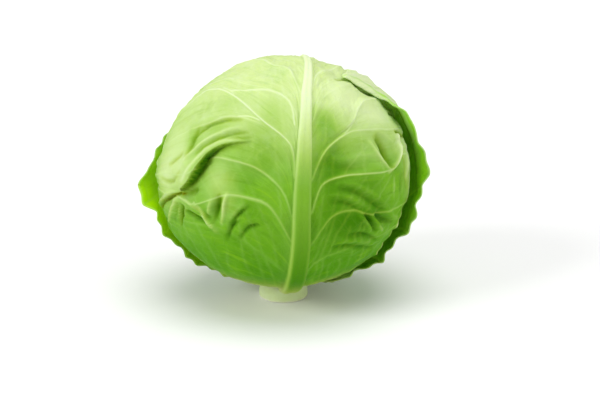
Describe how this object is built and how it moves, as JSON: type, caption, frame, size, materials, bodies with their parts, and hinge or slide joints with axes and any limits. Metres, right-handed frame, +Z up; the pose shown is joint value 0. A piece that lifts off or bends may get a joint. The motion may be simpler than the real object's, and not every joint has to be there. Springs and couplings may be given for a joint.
{
  "type": "cabbage head",
  "caption": "Round head of green cabbage: a tight ball wrapped in waved leaves with raised ribs and veins, on a short cut stem.",
  "frame": {"origin": "middle of the stem's flat cut face, on which the head rests", "axes": "+Z up through the stem and the crown, -Y the side that the big front leaf covers, +X to the right as that leaf is faced"},
  "size_m": [0.1998, 0.1769, 0.1732],
  "materials": {
    "cut_stem": "pale, fibrous cut stem",
    "heart_leaf": "pale waxy leaf",
    "front_leaf": "waxy green leaf with paler ribs and veins",
    "outer_leaf": "deep green waxy leaf with paler ribs and veins"
  },
  "bodies": {
    "root": {"stem_core": "cut_stem", "heart": "heart_leaf", "wrapper_leaf_left": "heart_leaf", "wrapper_leaf_right": "heart_leaf", "wrapper_leaf_back": "heart_leaf", "front_leaf": "front_leaf", "outer_leaf_right": "outer_leaf", "outer_leaf_left": "outer_leaf"}
  },
  "joints": []
}
